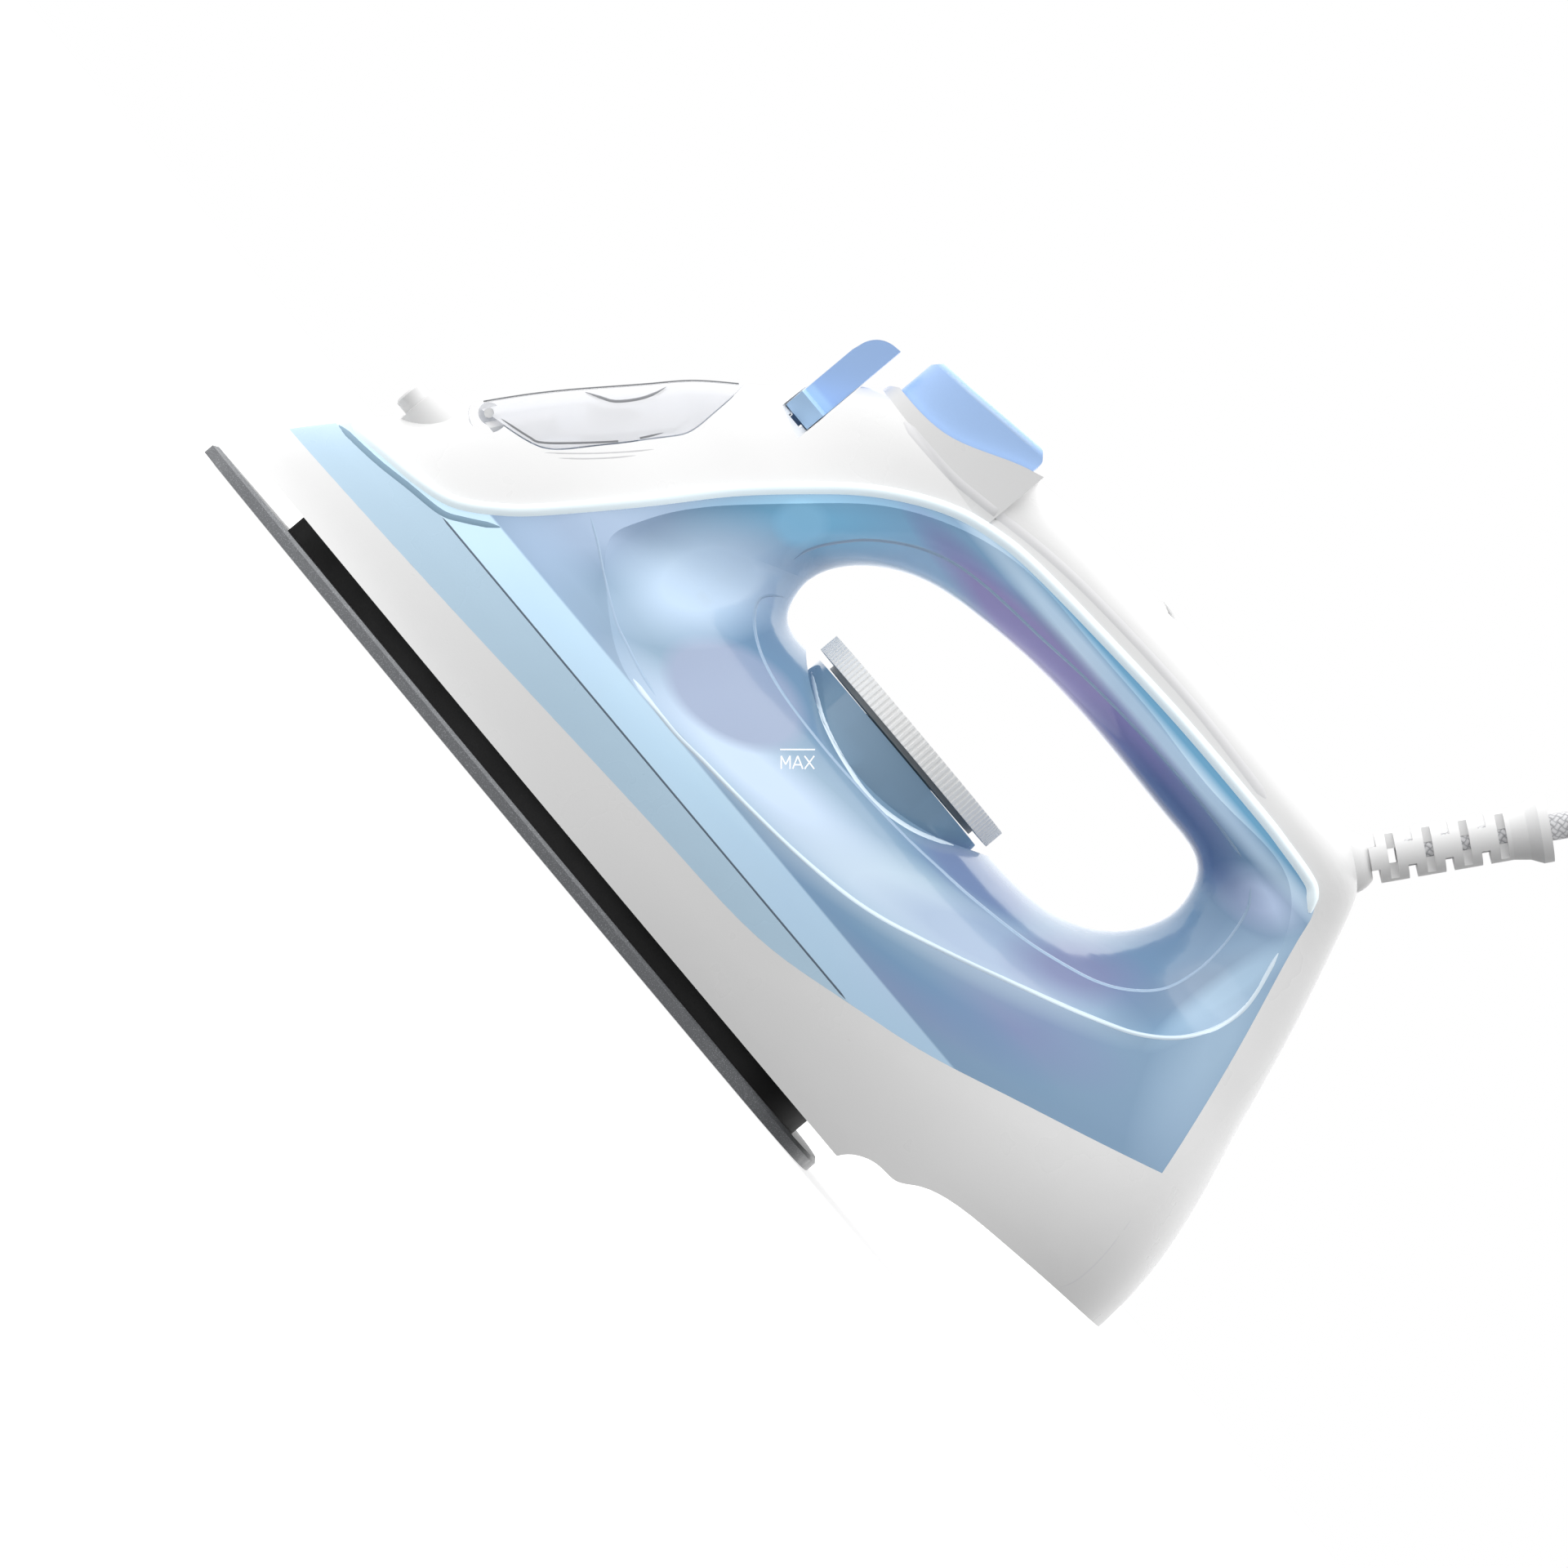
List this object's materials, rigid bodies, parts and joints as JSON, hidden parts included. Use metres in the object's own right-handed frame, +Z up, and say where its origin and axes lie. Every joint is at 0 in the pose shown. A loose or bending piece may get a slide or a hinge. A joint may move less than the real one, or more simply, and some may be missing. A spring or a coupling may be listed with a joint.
{
  "type": "clothes iron",
  "caption": "Corded steam iron with a translucent blue tank around its open handle, filler door, steam lever, thumb buttons, temperature dial and a jointed cord outlet.",
  "frame": {"origin": "middle of the iron's length and width, on the flat underside of the soleplate (z = 0)", "axes": "+Z up from the soleplate to the handle, -X towards the pointed nose, +X towards the heel and the cord, +Y to the right-hand side seen from the heel"},
  "size_m": [0.5663, 0.1237, 0.2469],
  "materials": {
    "dark_coating": "satin hard coating",
    "cast_metal": "as cast",
    "steel": "plain",
    "brass": "plain",
    "black_resin": "moulded, heat resistant",
    "white_plastic": "glossy moulded",
    "pale_blue_plastic": "satin moulded",
    "clear_blue": "translucent moulded",
    "clear_door": "clear moulded",
    "button_blue": "satin moulded",
    "grey_plastic": "moulded",
    "silicone": "moulded silicone",
    "hose_clear": "soft tube",
    "white_rubber": "soft moulded",
    "braid": "braided textile sleeve",
    "wire_sleeve": "glass-fibre sleeve"
  },
  "bodies": {
    "iron": {"boost_hose": "hose_clear", "boost_pump": "white_plastic", "boost_spring": "steel", "cord_clamp": "white_plastic", "cord_coil": "braid", "cord_tail": "braid", "drip_seal": "silicone", "filler_door_pin": "steel", "filler_funnel": "white_plastic", "handle_cover": "white_plastic", "heat_shield": "black_resin", "heater_casting": "cast_metal", "heater_wires": "wire_sleeve", "heating_element": "steel", "housing_screws": "steel", "lever_pin": "steel", "lower_housing": "white_plastic", "mains_cord": "braid", "plug_body": "white_rubber", "plug_pins": "brass", "pump_bracket": "white_plastic", "rear_cover": "white_plastic", "soleplate": "dark_coating", "spray_hose": "hose_clear", "spray_nozzle": "white_plastic", "spray_pump": "white_plastic", "spray_spring": "steel", "steam_chamber_cover": "cast_metal", "supply_wires": "wire_sleeve", "swivel_socket": "white_plastic", "tank_base": "pale_blue_plastic", "terminal_block": "black_resin", "thermal_fuse": "steel", "thermostat": "cast_metal", "water_tank": "clear_blue"},
    "door": {"filler_door": "clear_door"},
    "lever": {"steam_lever": "button_blue"},
    "valve": {"steam_valve_rod": "steel"},
    "spray": {"spray_button": "button_blue", "spray_plunger": "white_plastic"},
    "boost": {"boost_button": "button_blue", "boost_plunger": "white_plastic"},
    "dial": {"thermostat_dial": "white_plastic", "dial_skirt": "grey_plastic", "dial_shaft": "steel"},
    "swivel": {"cord_swivel": "white_plastic"},
    "guard": {"cord_guard": "white_rubber"}
  },
  "joints": [
    {"name": "filler_door_hinge", "type": "hinge", "parent": "iron", "child": "door", "pos_m": [-0.1114, 0, 0.0582], "axis": [0, -1, 0], "range_deg": [0, 95]},
    {"name": "steam_lever_swing", "type": "hinge", "parent": "iron", "child": "lever", "pos_m": [-0.0634, 0, 0.0785], "axis": [1, 0, 0], "range_deg": [-15, 15]},
    {"name": "steam_valve_lift", "type": "slide", "parent": "iron", "child": "valve", "axis": [0, 0, 1], "range_m": [-0.0012, 0.0012]},
    {"name": "spray_button_press", "type": "slide", "parent": "iron", "child": "spray", "axis": [0, 0, -1], "range_m": [0, 0.004], "stiffness_N_per_m": 800, "springref_m": -0.002, "deforming": ["spray_spring"]},
    {"name": "boost_button_press", "type": "slide", "parent": "iron", "child": "boost", "axis": [0, 0, -1], "range_m": [0, 0.004], "stiffness_N_per_m": 800, "springref_m": -0.002, "deforming": ["boost_spring"]},
    {"name": "dial_turn", "type": "hinge", "parent": "iron", "child": "dial", "pos_m": [0.0135, 0, 0.08], "axis": [0, 0, 1], "range_deg": [0, 270]},
    {"name": "cord_tilt", "type": "hinge", "parent": "iron", "child": "swivel", "pos_m": [0.1028, 0, 0.146], "axis": [0, 1, 0], "range_deg": [-25, 20], "deforming": ["mains_cord"]},
    {"name": "cord_spin", "type": "hinge", "parent": "swivel", "child": "guard", "pos_m": [0.1028, 0, 0.146], "axis": [0.5, 0, 0.866], "range_deg": [-170, 170]}
  ],
  "couplings": [
    {"joint": "steam_valve_lift", "follows": "steam_lever_swing", "m_per_rad": 0.0045}
  ]
}
